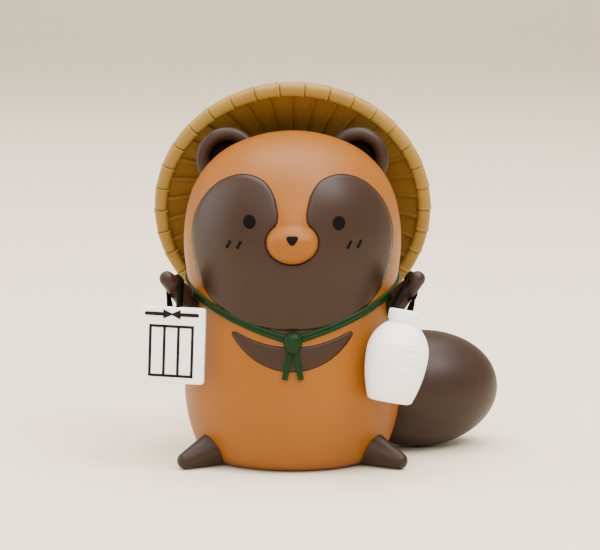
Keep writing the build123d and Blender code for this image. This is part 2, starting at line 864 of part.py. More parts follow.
# Loop that hangs the ledger from the right arm; its strands end in the tablet's upper edge
ledger_top = ledger_plane.from_local_coords(Vector(0, ledger_height / 2 - loop_sink, 0))
ledger_hanger = loop_form(-1, ledger_top, ledger_loop_half_gap)
with BuildPart() as ledger_loop:
    add(ledger_hanger)
    add(ledger.part, mode=Mode.SUBTRACT)
ledger_loop.part.label = "ledger_loop"
export_step(ledger_loop.part, "parts/ledger_loop.step")

# Sake bottle: turned solid, leaning on the belly
lean_out = math.tan(math.radians(bottle_lean_out))
lean_back = math.tan(math.radians(bottle_lean_back))
bottle_axis = Vector(lean_out, lean_back, 1).normalized()
bottle_foot = beside_body(1, bottle_angle, bottle_out, body_height - bottle_drop)
bottle_across = Vector(0, 1, 0).cross(bottle_axis).normalized()
bottle_section = Plane(origin=bottle_foot, x_dir=bottle_across, z_dir=bottle_across.cross(bottle_axis))
bottle_shoulder = bottle_height - bottle_lip_height - bottle_neck_height
with BuildPart() as bottle:
    with BuildSketch(bottle_section) as section:
        with BuildLine():
            widest = (bottle_radius, bottle_belly_height)
            TangentArc(widest, (bottle_foot_radius, 0), tangent=(0, -1))
            TangentArc(widest, (bottle_neck_radius, bottle_shoulder), tangent=(0, 1))
            Polyline(
                (bottle_neck_radius, bottle_shoulder),
                (bottle_neck_radius, bottle_shoulder + bottle_neck_height),
                (bottle_lip_radius, bottle_shoulder + bottle_neck_height),
                (bottle_lip_radius, bottle_height),
                (0, bottle_height),
                (0, 0),
                (bottle_foot_radius, 0),
            )
        make_face()
        rim = section.vertices().sort_by_distance((bottle_lip_radius, bottle_height))[0]
        fillet(rim, radius=bottle_lip_round)
        heel = section.vertices().sort_by_distance((bottle_foot_radius, 0))[0]
        fillet(heel, radius=bottle_foot_round)
    revolve(axis=Axis(bottle_foot, bottle_axis))
bottle.part.label = "bottle"
export_step(bottle.part, "parts/bottle.step")

# Loop that hangs the bottle from the left arm; its strands end in the lip
bottle_top = bottle_foot + bottle_axis * (bottle_height - loop_sink)
bottle_hanger = loop_form(1, bottle_top, bottle_loop_half_gap)
with BuildPart() as bottle_loop:
    add(bottle_hanger)
    add(bottle.part, mode=Mode.SUBTRACT)
bottle_loop.part.label = "bottle_loop"
export_step(bottle_loop.part, "parts/bottle_loop.step")
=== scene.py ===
# %% [markdown]
# A palm-sized tanuki figure, moulded in PVC and spray-painted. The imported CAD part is
# loaded first and is never changed: it says where everything is, in metres, with the figure
# standing on z = 0 and facing -Y. Each finer piece built here takes the place of a CAD node
# and rides on the same body, so the arms, the ledger and the bottle still move as they should.

# %% Load the frame
import math

import bmesh
import bpy
import numpy as np
from mathutils import Matrix, Vector, geometry


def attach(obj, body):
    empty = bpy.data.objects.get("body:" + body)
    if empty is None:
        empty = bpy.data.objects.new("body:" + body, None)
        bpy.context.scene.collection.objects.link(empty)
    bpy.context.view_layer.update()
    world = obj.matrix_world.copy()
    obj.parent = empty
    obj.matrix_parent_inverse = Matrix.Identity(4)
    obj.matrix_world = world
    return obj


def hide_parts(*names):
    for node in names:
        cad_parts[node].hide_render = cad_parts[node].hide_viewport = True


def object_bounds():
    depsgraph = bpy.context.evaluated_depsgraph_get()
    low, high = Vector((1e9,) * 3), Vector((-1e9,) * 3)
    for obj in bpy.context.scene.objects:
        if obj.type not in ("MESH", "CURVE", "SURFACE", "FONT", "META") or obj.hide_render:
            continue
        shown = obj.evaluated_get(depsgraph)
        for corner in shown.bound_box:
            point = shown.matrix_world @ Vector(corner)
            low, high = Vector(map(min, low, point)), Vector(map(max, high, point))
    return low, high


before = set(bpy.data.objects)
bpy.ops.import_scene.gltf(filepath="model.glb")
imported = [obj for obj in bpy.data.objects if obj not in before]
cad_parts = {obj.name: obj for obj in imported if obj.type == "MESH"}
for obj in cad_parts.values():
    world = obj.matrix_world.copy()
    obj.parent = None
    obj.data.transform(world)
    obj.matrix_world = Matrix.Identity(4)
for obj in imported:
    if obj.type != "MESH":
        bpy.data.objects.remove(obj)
cad_box = [list(corner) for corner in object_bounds()]
cad_box_mm = [[round(v * 1000, 1) for v in corner] for corner in cad_box]
print("CAD nodes:", len(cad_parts), "box in mm:", cad_box_mm)

# %% [markdown]
# Shapes are easier to think about in millimetres, so every mesh is modelled in millimetres
# and shrunk to metres when it is done. One function does that for every piece: it also turns
# the normals outwards, links the object, hangs it from an empty for the body that carries it,
# gives it its finish and hides the CAD nodes it stands for.

# %% Finishing a piece
MM = 0.001


def make_piece(bm, name, material, body, stands_for=(), sharp=None):
    """Turn a bmesh in millimetres into a finished piece that rides on a body."""
    bmesh.ops.scale(bm, vec=(MM, MM, MM), verts=bm.verts)
    bmesh.ops.recalc_face_normals(bm, faces=bm.faces)
    for face in bm.faces:
        face.smooth = True
    mesh = bpy.data.meshes.new(name)
    bm.to_mesh(mesh)
    bm.free()
    if sharp:
        mesh.set_sharp_from_angle(angle=math.radians(sharp))
    mesh.materials.append(material)
    piece = bpy.data.objects.new(name, mesh)
    bpy.context.scene.collection.objects.link(piece)
    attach(piece, body)
    if stands_for:
        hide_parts(*stands_for)
    print(name, len(mesh.polygons), "faces")


# %% [markdown]
# Paint on moulded PVC is not one flat colour. Under a lens it has a faint cloudiness from the
# spray, a fine orange peel, and a sheen that changes a little from place to place. All of that
# is noise at two sizes, so one function makes each paint from its own two colours. Colours are
# written as sRGB hex values and turned to linear light once.

# %% Helpers for materials
CLOUD_SIZE = 7.0 * MM
PEEL_SIZE = 0.35 * MM
PEEL_DEPTH = 0.02 * MM
SHEEN_SPREAD = 0.05


def linear(colour):
    """An sRGB hex colour as linear RGBA."""
    parts = [int(colour[i : i + 2], 16) / 255 for i in (1, 3, 5)]
    return [p / 12.92 if p <= 0.04045 else ((p + 0.055) / 1.055) ** 2.4 for p in parts] + [1.0]


def add_node(tree, kind, inputs=None, **settings):
    """Add a node; inputs take either a value or the output socket to link from."""
    node = tree.nodes.new(kind)
    for name, value in settings.items():
        setattr(node, name, value)
    for socket, value in (inputs or {}).items():
        if isinstance(value, bpy.types.NodeSocket):
            tree.links.new(value, node.inputs[socket])
        else:
            node.inputs[socket].default_value = value
    return node


def sprayed_paint(name, colour, cloud, rough, gloss):
    """Satin paint on PVC: soft clouds of colour, orange peel, and a sheen that varies."""
    material = bpy.data.materials.new(name)
    material.use_nodes = True
    tree = material.node_tree
    place = add_node(tree, "ShaderNodeTexCoord").outputs["Object"]
    clouds = add_node(
        tree, "ShaderNodeTexNoise", {"Vector": place, "Scale": 1 / CLOUD_SIZE, "Detail": 3.0}
    ).outputs["Fac"]
    # A colour mix keeps its factor at socket 0 and its two colours at 6 and 7
    tone = add_node(
        tree, "ShaderNodeMix", {0: clouds, 6: linear(cloud), 7: linear(colour)}, data_type="RGBA"
    )
    grain = add_node(
        tree, "ShaderNodeTexNoise", {"Vector": place, "Scale": 1 / PEEL_SIZE, "Detail": 2.0}
    )
    sheen = add_node(
        tree,
        "ShaderNodeMapRange",
        {"Value": clouds, "To Min": rough - SHEEN_SPREAD, "To Max": rough + SHEEN_SPREAD},
    )
    bump = add_node(
        tree,
        "ShaderNodeBump",
        {"Height": grain.outputs["Fac"], "Strength": 0.12, "Distance": PEEL_DEPTH},
    )
    shader = tree.nodes["Principled BSDF"]
    tree.links.new(tone.outputs[2], shader.inputs["Base Color"])
    tree.links.new(sheen.outputs["Result"], shader.inputs["Roughness"])
    tree.links.new(bump.outputs["Normal"], shader.inputs["Normal"])
    shader.inputs["IOR"].default_value = 1.5
    shader.inputs["Specular IOR Level"].default_value = gloss
    return material


# %% Paints
# Satin orange spray: soft warm highlights without a hard edge.
orange = sprayed_paint("orange_sprayed_pvc", "#854d0a", "#7d4708", 0.45, 0.22)
# The browns are a little smoother, so lobes, ears and tail show a wide pale sheen.
mask_brown = sprayed_paint("mask_brown_sprayed_pvc", "#2e1a0b", "#291709", 0.42, 0.25)
brown = sprayed_paint("brown_sprayed_pvc", "#2c190c", "#27160a", 0.44, 0.25)
# Paint in grooves and hollows is dull: it reads as a drawn line or a deep shadow.
line_brown = sprayed_paint("dark_brown_paint_line", "#1c0a02", "#180801", 0.6, 0.15)
hollow_dark = sprayed_paint("dark_ear_hollow_paint", "#060302", "#040201", 0.65, 0.08)
# Pad-printed ink has almost no sheen, so the eyes stay black from every side.
black_print = sprayed_paint("black_printed_ink", "#020202", "#010101", 0.6, 0.08)
# The loops are moulded in black: dull, with a faint grey edge.
black_loop = sprayed_paint("black_moulded_loop", "#020202", "#010101", 0.55, 0.08)
# Moulded cord: deep green with a soft sheen along the top of each strand.
green = sprayed_paint("green_moulded_cord", "#032807", "#032206", 0.45, 0.14)
# Straw-coloured spray: lighter on the rim's tiles, browner on the plates in their shade.
straw = sprayed_paint("straw_sprayed_pvc", "#937230", "#896828", 0.5, 0.25)
plate_straw = sprayed_paint("hat_plate_sprayed_pvc", "#7c5a22", "#72511c", 0.52, 0.2)
# Unpainted white PVC: bright, with a soft gloss that picks out the bottle's rings.
white = sprayed_paint("white_moulded_pvc", "#fbfbf7", "#f5f5f0", 0.4, 0.4)
# Printed ink on the ledger: a flat dark brown.
ink = sprayed_paint("dark_brown_ledger_ink", "#0f0703", "#0c0502", 0.55, 0.15)
print("paints: orange, browns, blacks, green, straws, white and ink")

# %% [markdown]
# The head and body are one bullet-shaped form of revolution. Its outline is a chain of arcs,
# the same chain that the CAD part uses, so two small functions walk along it: one gives the
# outline's points, the other the radius and the lean of the surface at any height.

# %% The outline of the body
BODY_HEIGHT, BODY_RADIUS = 59.0, 19.5
# Radii of the arcs below the crown
TEMPLE, CHEEK, BELLY, BASE = 15.5, 28.0, 26.0, 4.2
# Lean of the outline, in degrees, where one arc passes into the next
CROWN_LEAN, TEMPLE_LEAN, WAIST_LEAN, BELLY_LEAN = 25.0, 75.0, 8.0, 24.0
t1, t2, tw, tb = (math.radians(a) for a in (CROWN_LEAN, TEMPLE_LEAN, WAIST_LEAN, BELLY_LEAN))
crown_arc = BODY_RADIUS - TEMPLE * (math.sin(t2) - math.sin(t1)) - CHEEK * (1 - math.sin(t2))
crown_arc /= math.sin(t1)
head_part = crown_arc * (1 - math.cos(t1)) + TEMPLE * (math.cos(t1) - math.cos(t2))
head_part += CHEEK * (math.cos(t2) + math.sin(tw))
foot_part = BELLY * (math.sin(tw) + math.sin(tb)) + BASE * (1 - math.sin(tb))
waist_arc = (BODY_HEIGHT - head_part - foot_part) / (2 * math.sin(tw))
# Radius and turn of each arc from the crown down; the waist bends the other way
BODY_ARCS = [
    (crown_arc, CROWN_LEAN),
    (TEMPLE, TEMPLE_LEAN - CROWN_LEAN),
    (CHEEK, 90 - TEMPLE_LEAN + WAIST_LEAN),
    (-waist_arc, 2 * WAIST_LEAN),
    (BELLY, WAIST_LEAN + BELLY_LEAN),
    (BASE, 90 - BELLY_LEAN),
]


def walk_outline():
    """Each arc of the outline as (bend, size, centre x, centre z, start angle, end angle)."""
    x, z, heading = 0.0, BODY_HEIGHT, 0.0
    for radius, turn in BODY_ARCS:
        size, bend = abs(radius), math.copysign(1, radius)
        cx, cz = x + bend * size * math.sin(heading), z - bend * size * math.cos(heading)
        start = heading
        heading -= bend * math.radians(turn)
        x, z = cx - bend * size * math.sin(heading), cz + bend * size * math.cos(heading)
        yield bend, size, cx, cz, start, heading


OUTLINE = list(walk_outline())


def skin(height):
    """Radius of the body at a height, and the lean of its surface in radians."""
    for bend, size, cx, cz, _, end in OUTLINE:
        if height >= cz + bend * size * math.cos(end) - 1e-6:
            lean = math.asin(max(-1, min(1, bend * (height - cz) / size)))
            return cx + bend * size * math.cos(lean), lean
    return cx - bend * size * math.sin(end), -math.pi / 2


def outline_points(step_at):
    """Points down the outline, with a step length that may change with height."""
    points = [(0.0, BODY_HEIGHT)]
    for bend, size, cx, cz, start, end in OUTLINE:
        angle = start
        while True:
            z = cz + bend * size * math.cos(angle)
            angle -= bend * step_at(z) / size
            if (angle - end) * bend <= 0.3 * step_at(z) / size:
                break
            points.append((cx - bend * size * math.sin(angle), cz + bend * size * math.cos(angle)))
        points.append((cx - bend * size * math.sin(end), cz + bend * size * math.cos(end)))
    return points


print("outline: crown radius", round(crown_arc, 2), "waist radius", round(waist_arc, 2))

# %% [markdown]
# The muzzle is a soft pad that grows out of the face: crisp at its sides and chin, where the
# mask meets it, but flowing at its top into the orange strip of the forehead. It could be a
# separate ball, but then a crease would show at the top. Instead it is a height field: a
# formula says how far each point of the face stands forward, and the body's own vertices are
# moved by it. The same formula later tells the nose and the mask where the surface is.

# %% The muzzle's height
MUZZLE = {"height": 41.25, "half_width": 4.42, "half_height": 3.62, "reach": 2.55}
BRIDGE = {"reach": 1.5, "half_width": 3.0, "foot": 38.5, "full": 42.0, "top": 50.5}


def smooth_step(low, high, value):
    """Rise smoothly from 0 at a low value to 1 at a high one."""
    t = max(0.0, min(1.0, (value - low) / (high - low)))
    return t * t * (3 - 2 * t)


def muzzle_rise(x, z):
    """How far the face stands forward of the plain body at a point seen from the front."""
    across, up = x / MUZZLE["half_width"], (z - MUZZLE["height"]) / MUZZLE["half_height"]
    far = math.hypot(across, up)
    pad = 0.0
    if far < 1:
        top = smooth_step(0.25, 0.95, up / far if far > 1e-6 else 0)
        pad = MUZZLE["reach"] * (1 - far**2.5) ** (0.5 + 0.55 * top)
    bridge = BRIDGE["reach"] * (1 - smooth_step(BRIDGE["full"], BRIDGE["top"], z))
    bridge *= smooth_step(BRIDGE["foot"], BRIDGE["full"], z)
    bridge *= max(0.0, 1 - (x / BRIDGE["half_width"]) ** 2)
    return (pad**4 + bridge**4) ** 0.25


def face_point(x, z):
    """The point of the face's surface behind a place seen from the front."""
    radius = skin(z)[0]
    return Vector((x, -math.sqrt(max(radius * radius - x * x, 0)) - muzzle_rise(x, z), z))


def face_frame(x, z):
    """The same point with the surface's outward direction there."""
    step = 0.03
    along = face_point(x + step, z) - face_point(x - step, z)
    up = face_point(x, z + step) - face_point(x, z - step)
    return face_point(x, z), along.cross(up).normalized()


# %% [markdown]
# The shell is spun from its outline in two goes: in fine steps across the muzzle, so that the
# height field has vertices to move, and in coarse ones round the rest. The wire turns in under
# the base, where the plug sits.

# %% Body
PLUG_EDGE, PLUG_DEPTH = 10.55, 1.9
FACE_TURN = math.radians(17)
FACE_STEPS, BACK_STEPS = 124, 150


def profile(bm, points):
    """A wire of vertices and edges through the given points, ready to be spun."""
    verts = [bm.verts.new(p) for p in points]
    edges = [bm.edges.new(pair) for pair in zip(verts, verts[1:])]
    return verts + edges


def row_step(z):
    """Height of a row of faces: fine at the muzzle, medium above it, coarse elsewhere."""
    return 0.09 if 37.0 < z < 45.6 else 0.2 if 45.6 <= z < 51 else 0.55


body_wire = outline_points(row_step)
body_wire += [(PLUG_EDGE, 0.0), (PLUG_EDGE, PLUG_DEPTH), (0.0, PLUG_DEPTH)]
bm = bmesh.new()
wire = profile(
    bm, [(-r * math.sin(FACE_TURN), -r * math.cos(FACE_TURN), z) for r, z in body_wire]
)
for turn, steps in ((FACE_TURN, FACE_STEPS), (math.pi - FACE_TURN, BACK_STEPS)):
    wire = bmesh.ops.spin(
        bm, geom=wire, cent=(0, 0, 0), axis=(0, 0, 1), angle=2 * turn, steps=steps
    )["geom_last"]
bmesh.ops.remove_doubles(bm, verts=bm.verts, dist=1e-4)
moved = [v for v in bm.verts if v.co.y < -10 and abs(v.co.x) < 6 and 36 < v.co.z < 51]
for v in moved:
    v.co.y -= muzzle_rise(v.co.x, v.co.z)
bmesh.ops.smooth_vert(
    bm, verts=moved, factor=0.4, use_axis_x=False, use_axis_y=True, use_axis_z=False
)
make_piece(bm, "body_shell", orange, "figure", ("body_front", "body_back"))

# %% [markdown]
# The mask, the belly crescent, the eyes, the dashes and the nose are all thin layers with a
# drawn outline that hug the face. A flat fill of the outline, cut into small triangles and
# then laid on the curved surface, gives the cleanest edge. The layer rises from its outline in
# a rounded step. A second layer, a little wider and almost flat, lies under the mask and under
# the crescent: it is the thin dark line that runs round both.

# %% Helpers for layers on the face
# Rings of points inside the outline, in shares of the rounding, that carry the rounded step
EDGE_RINGS = (0.12, 0.3, 0.55, 0.85, 1.2)
# How far a layer's edge lies in the skin, and how far its underside lies below that
SINK, BURY = 0.03, 0.25


def edge_distance(points, loop):
    """Distance of each point from a closed outline."""
    best = np.full(len(points), 1e9)
    for a, b in zip(loop, np.roll(loop, -1, axis=0)):
        ab = b - a
        t = np.clip(((points - a) @ ab) / max(ab @ ab, 1e-12), 0, 1)
        best = np.minimum(best, np.hypot(*((points - a) - t[:, None] * ab).T))
    return best


def inside(points, loop):
    """Which points lie inside a closed outline."""
    hit = np.zeros(len(points), bool)
    x, z = points[:, 0], points[:, 1]
    for (ax, az), (bx, bz) in zip(loop, np.roll(loop, -1, axis=0)):
        if az != bz:
            crossing = (az > z) != (bz > z)
            hit ^= crossing & (x < (bx - ax) * (z - az) / (bz - az) + ax)
    return hit


def outward(loop):
    """The outward direction at each point of a closed outline."""
    ahead = np.roll(loop, -1, axis=0)
    along = ahead - np.roll(loop, 1, axis=0)
    along /= np.linalg.norm(along, axis=1)[:, None]
    area = np.sum(loop[:, 0] * ahead[:, 1] - ahead[:, 0] * loop[:, 1])
    return np.column_stack((along[:, 1], -along[:, 0])) * math.copysign(1, area)


def grown(outline, amount):
    """The same closed outline moved outwards by an amount."""
    loop = np.array(outline)
    return loop + outward(loop) * amount


def face_layer(name, outline, material, stands_for, rise, rounding, base=0.0, spacing=0.45):
    """A layer on the face inside an outline of (x, z) points, with a rounded edge."""
    loop = np.array(outline)
    inward = -outward(loop)
    cloud = [loop]
    for share in EDGE_RINGS:
        ring = loop + inward * rounding * share
        clear = edge_distance(ring, loop) > 0.85 * rounding * share
        cloud.append(ring[inside(ring, loop) & clear])
    columns, rows = (np.arange(loop[:, k].min(), loop[:, k].max(), spacing) for k in (0, 1))
    grid = np.array([(x, z) for x in columns for z in rows])
    clear = edge_distance(grid, loop) > 1.2 * rounding + 0.3 * spacing
    cloud.append(grid[inside(grid, loop) & clear])
    flat = [Vector(p) for p in np.concatenate(cloud)]
    count = len(loop)
    ring_edges = [(i, (i + 1) % count) for i in range(count)]
    filled = geometry.delaunay_2d_cdt(flat, ring_edges, [list(range(count))], 1, 1e-5)
    places = np.array([tuple(p) for p in filled[0]])
    bm = bmesh.new()
    verts = []
    for (x, z), depth in zip(places, edge_distance(places, loop)):
        point, normal = face_frame(x, z)
        lift = rise * math.sqrt(1 - (1 - min(1.0, depth / rounding)) ** 2)
        verts.append(bm.verts.new(point + normal * (base + lift - SINK)))
    for face in filled[2]:
        bm.faces.new([verts[i] for i in face])
    bmesh.ops.recalc_face_normals(bm, faces=bm.faces)
    walls = bmesh.ops.extrude_face_region(bm, geom=bm.faces[:], use_keep_orig=True)
    for vert in (g for g in walls["geom"] if isinstance(g, bmesh.types.BMVert)):
        vert.co -= face_frame(vert.co.x, vert.co.z)[1] * (base + rise + BURY)
    make_piece(bm, name, material, "figure", stands_for, sharp=60)


# %% [markdown]
# The mask is the raised brown part of the face. One side of its outline is a smooth curve
# through a few points, from the chin up the cheek and over the lobe to the forehead strip, then
# down the strip and round the muzzle. The other side is its mirror image.

# %% Mask
LOBE_STEPS = 8
MASK_POINTS = [
    (-4.8, 26.25), (0.0, 25.9), (4.8, 26.25), (9.4, 27.4), (14.3, 30.75), (16.6, 34.8),
    (17.65, 40.3), (17.2, 44.6), (15.4, 48.3), (12.4, 51.2), (8.6, 52.5), (5.2, 51.7),
    (3.35, 49.4), (2.62, 46.6), (2.58, 45.2),
]
MUZZLE_GAP = 1.035


def smooth_line(points, count):
    """A smooth curve through points; each handle points along its two neighbours."""
    p = [Vector(points[0]) * 2 - Vector(points[1])] + [Vector(q) for q in points]
    p.append(Vector(points[-1]) * 2 - Vector(points[-2]))
    line = [tuple(p[1])]
    for a, b, c, d in zip(p, p[1:], p[2:], p[3:]):
        bend = geometry.interpolate_bezier(b, b + (c - a) / 6, c - (d - b) / 6, c, count)
        line += [tuple(q)[:2] for q in bend[1:]]
    return line


def mirrored_loop(half):
    """A closed outline from its right half, whose two ends lie on the middle line."""
    return half + [(-x, z) for x, z in half[-2:0:-1]]


# The first stretch only keeps the chin smooth across the middle, so it is dropped
lobe = smooth_line(MASK_POINTS, LOBE_STEPS)[LOBE_STEPS - 1 :]
notch = [(2.66, 44.75), (2.85, 44.5)]
pad_width, pad_height = MUZZLE["half_width"] * MUZZLE_GAP, MUZZLE["half_height"] * MUZZLE_GAP
pad_angles = [math.radians(a) for a in range(48, -91, -3)]
pad = [(pad_width * math.cos(a), MUZZLE["height"] + pad_height * math.sin(a)) for a in pad_angles]
mask_outline = mirrored_loop(lobe + notch + pad)
face_layer(
    "face_mask_layer", mask_outline, mask_brown, ("face_mask",),
    rise=0.36, rounding=0.75,
)
face_layer(
    "face_mask_line", grown(mask_outline, 0.17), line_brown, (),
    rise=0.08, rounding=0.1,
)

# %% [markdown]
# The crescent on the belly lies between two circles, with blunt tips. A thin layer of the
# crescent's brown also fills the narrow space between the chin and the cord. It is painted
# shade, where the mask and the cord shade the body.

# %% Crescent and chin
def three_point_arc(a, b, c, count):
    """Points of the circle through three points, from the first to the last."""
    ax, az, bx, bz, cx, cz = *a, *b, *c
    aa, bb, cc = ax**2 + az**2, bx**2 + bz**2, cx**2 + cz**2
    d = 2 * (ax * (bz - cz) + bx * (cz - az) + cx * (az - bz))
    ux = (aa * (bz - cz) + bb * (cz - az) + cc * (az - bz)) / d
    uz = (aa * (cx - bx) + bb * (ax - cx) + cc * (bx - ax)) / d
    r = math.hypot(ax - ux, az - uz)
    start, end = math.atan2(az - uz, ax - ux), math.atan2(cz - uz, cx - ux)
    return [(ux + r * math.cos(t), uz + r * math.sin(t)) for t in np.linspace(start, end, count)]


def oval(x, z, half_width, half_height, count=40):
    """Points round an ellipse."""
    angles = [2 * math.pi * i / count for i in range(count)]
    return [(x + half_width * math.cos(a), z + half_height * math.sin(a)) for a in angles]


lower = three_point_arc((-10.36, 24.4), (0.0, 18.65), (10.36, 24.4), 60)
upper = three_point_arc((9.68, 25.08), (0.0, 22.8), (-9.68, 25.08), 60)
right_tip = [(10.52, 24.68), (10.46, 24.99), (10.15, 25.17)]
left_tip = [(-x, z) for x, z in reversed(right_tip)]
crescent_outline = lower + right_tip + upper + left_tip
face_layer(
    "belly_crescent_layer", crescent_outline, mask_brown, ("belly_crescent",),
    rise=0.25, rounding=0.5, spacing=0.4,
)
# Painted shade: a thin brown layer under the chin, in the shadow of the mask and the cord
face_layer(
    "chin_painted_shade", oval(0.0, 25.75, 4.6, 1.0), mask_brown, (),
    rise=0.05, rounding=0.08,
)
face_layer(
    "belly_crescent_line", grown(crescent_outline, 0.13), line_brown, (),
    rise=0.05, rounding=0.08,
)

# %% [markdown]
# Eyes, cheek dashes and nose are black print. Print has almost no thickness, but a layer of a
# tenth of a millimetre keeps them real pieces that can be lifted off the model. The nose is
# thicker: it is a small raised pad.

# %% Eyes, dashes and nose
MASK_TOP = 0.33
EYES = {"right_eye": (-7.3, 44.75), "left_eye": (7.95, 44.5)}
CHEEKS = {"right_cheek": (-10.9, -9.1), "left_cheek": (9.75, 11.5)}
DASH = {"height": 40.7, "length": 1.6, "width": 0.64, "slant": 62}
NOSE_POINTS = [
    (0.0, 42.72), (0.55, 42.72), (0.92, 42.6), (1.0, 42.3), (0.85, 41.95), (0.5, 41.45),
    (0.22, 41.22), (0.0, 41.17),
]
NOSE_STEPS = 5


def dash(x, z, length, width, slant):
    """A stroke with round ends."""
    aim = Vector((math.cos(math.radians(slant)), math.sin(math.radians(slant))))
    side = Vector((-aim.y, aim.x))
    half_run, r = length / 2 - width / 2, width / 2
    points = []
    for end in (1, -1):
        for i in range(9):
            a = math.radians(-90 + 180 * i / 8)
            reach = aim * (half_run + r * math.cos(a)) + side * r * math.sin(a)
            points.append(tuple(Vector((x, z)) + end * reach))
    return points


for name, (x, z) in EYES.items():
    face_layer(
        name + "_print", oval(x, z, 1.1, 1.22), black_print, (name,),
        rise=0.1, rounding=0.12, base=MASK_TOP, spacing=0.25,
    )
for name, centers in CHEEKS.items():
    for number, x in enumerate(centers, 1):
        stroke = dash(x, DASH["height"], DASH["length"], DASH["width"], DASH["slant"])
        stands_for = (name + "_marks",) if number == 1 else ()
        face_layer(
            name + "_dash_" + str(number), stroke, black_print, stands_for,
            rise=0.06, rounding=0.08, base=MASK_TOP, spacing=0.15,
        )
# One more point past each end makes the curve cross the middle line square
nose_line = smooth_line([(-0.55, 42.72)] + NOSE_POINTS + [(-0.22, 41.22)], NOSE_STEPS)
nose_half = nose_line[NOSE_STEPS - 1 : 1 - NOSE_STEPS]
face_layer(
    "nose_print", mirrored_loop(nose_half), black_print, ("nose",),
    rise=0.2, rounding=0.2, base=0.06, spacing=0.2,
)

# %% [markdown]
# Each ear is a thick ring with a round edge and a dark hollow. The ring is turned like a bowl
# on a lathe and then laid on its side to face forwards; the hollow's paint is a lining of its
# own, so that the line between brown and black stays sharp.

# %% Ears
EAR = {"offset": 11.6, "height": 53.8, "front": 0.9}


def turned(points, steps, matrix=None):
    """A solid of revolution about Z from (radius, height) points, then moved by a matrix."""
    bm = bmesh.new()
    bmesh.ops.spin(
        bm, geom=profile(bm, [(r, 0, z) for r, z in points]), cent=(0, 0, 0), axis=(0, 0, 1),
        angle=2 * math.pi, steps=steps, use_merge=True,
    )
    bmesh.ops.remove_doubles(bm, verts=bm.verts, dist=1e-4)
    if matrix:
        bmesh.ops.transform(bm, matrix=matrix, verts=bm.verts)
    return bm


def arc(center, radius, start, end, count):
    """Points on a circle from one angle to another, in degrees."""
    angles = [math.radians(start + (end - start) * i / count) for i in range(count + 1)]
    return [(center[0] + radius * math.cos(a), center[1] + radius * math.sin(a)) for a in angles]


# From the middle of the hollow's floor, over the round front edge, to the back
ear_section = [(0.0, 1.9), (2.6, 1.9)] + arc((2.6, 1.15), 0.75, 90, 0, 6)[:-1]
ear_section += arc((4.55, 1.2), 1.2, 180, 360, 20) + arc((4.55, 2.2), 1.2, 0, 90, 8)
ear_section += [(0.0, 3.4)]
# The lining stands a little proud of the floor and ends inside the ring
hollow_section = [(0.0, 1.82), (2.56, 1.82)] + arc((2.56, 1.1), 0.72, 90, 0, 6)
hollow_section += [(3.28, 0.9), (3.45, 0.9), (3.45, 2.0), (0.0, 2.0)]
lay_down = Matrix.Rotation(-math.pi / 2, 4, "X")
for side, name in ((-1, "right_ear"), (1, "left_ear")):
    lay = Matrix.Translation((side * EAR["offset"], EAR["front"], EAR["height"])) @ lay_down
    make_piece(
        turned(ear_section, 72, lay), name + "_ring", brown, "figure", (name,)
    )
    make_piece(
        turned(hollow_section, 60, lay), name + "_hollow", hollow_dark, "figure",
        sharp=50,
    )

# %% [markdown]
# The tail is a big smooth egg that lies on the table behind the figure. It is turned about its
# long axis; the end that meets the body is simply buried in it.

# %% Tail
TAIL = {"turn": 21.0, "reach": 25.1, "radius": 10.7, "half_length": 14.898, "height": 10.75}
TAIL_ROWS = 72
tail_turn = math.radians(TAIL["turn"])
tail_axis = Vector((math.cos(tail_turn), math.sin(tail_turn), 0))
tail_place = Matrix.Translation(tail_axis * TAIL["reach"] + Vector((0, 0, TAIL["height"])))
tail_place @= tail_axis.to_track_quat("Z", "Y").to_matrix().to_4x4()
tail_angles = [math.pi * i / TAIL_ROWS for i in range(TAIL_ROWS + 1)]
egg = [(TAIL["radius"] * math.sin(a), -TAIL["half_length"] * math.cos(a)) for a in tail_angles]
make_piece(turned(egg, 120, tail_place), "tail_egg", brown, "figure", ("tail",))

# %% [markdown]
# The hat is a straw kasa, worn behind the head so that its underside shows like a halo. Two
# things make it: long plates that fan out from the middle, each lapping a little over the next
# like shingles, and a rim of soft tiles bound round the edge. One plate and one tile are
# modelled, then copied round the hat's axis by spinning with duplicates.

# %% Hat plates
HAT = {
    "tiles": 34, "edge": 22.8, "tuck": 23.5, "flat": 2.6, "slope": math.tan(math.radians(23.5)),
}
PITCH = 2 * math.pi / HAT["tiles"]
PLATE = {"width": PITCH * 1.04, "lift": 0.3, "lap": -0.42, "thickness": 1.0, "bead": -0.2}
HAT_TILT = math.radians(21)
hat_place = Matrix.Translation((0, 12.2, 43.7))
hat_place @= Matrix.Rotation(HAT_TILT - math.pi / 2, 4, "X")


def everything(bm):
    """All that a bmesh holds, as operators take it."""
    return bm.verts[:] + bm.edges[:] + bm.faces[:]


def copy_round(bm):
    """Copy what a bmesh holds round the Z axis, once for each tile of the hat."""
    copies = HAT["tiles"] - 1
    bmesh.ops.spin(
        bm, geom=everything(bm), cent=(0, 0, 0), axis=(0, 0, 1), angle=PITCH * copies,
        steps=copies, use_duplicate=True,
    )


def round_edges(bm, edges, offset, segments):
    """Round edges of a bmesh."""
    bmesh.ops.bevel(
        bm, geom=edges, offset=offset, offset_type="OFFSET", affect="EDGES", segments=segments,
        profile=0.5, material=-1, clamp_overlap=True,
    )


def run_along_x(edge):
    """How far an edge runs along the plate."""
    return abs(edge.verts[0].co.x - edge.verts[1].co.x)


bm = bmesh.new()
bmesh.ops.create_cube(bm, size=1.0)
bmesh.ops.subdivide_edges(bm, edges=[e for e in bm.edges if run_along_x(e) > 0.5], cuts=7)
long_edges = [e for e in bm.edges if run_along_x(e) > 0.01 and len(e.link_faces) == 2]
round_edges(bm, [e for e in long_edges if e.calc_face_angle() > 0.5], 0.07, 3)
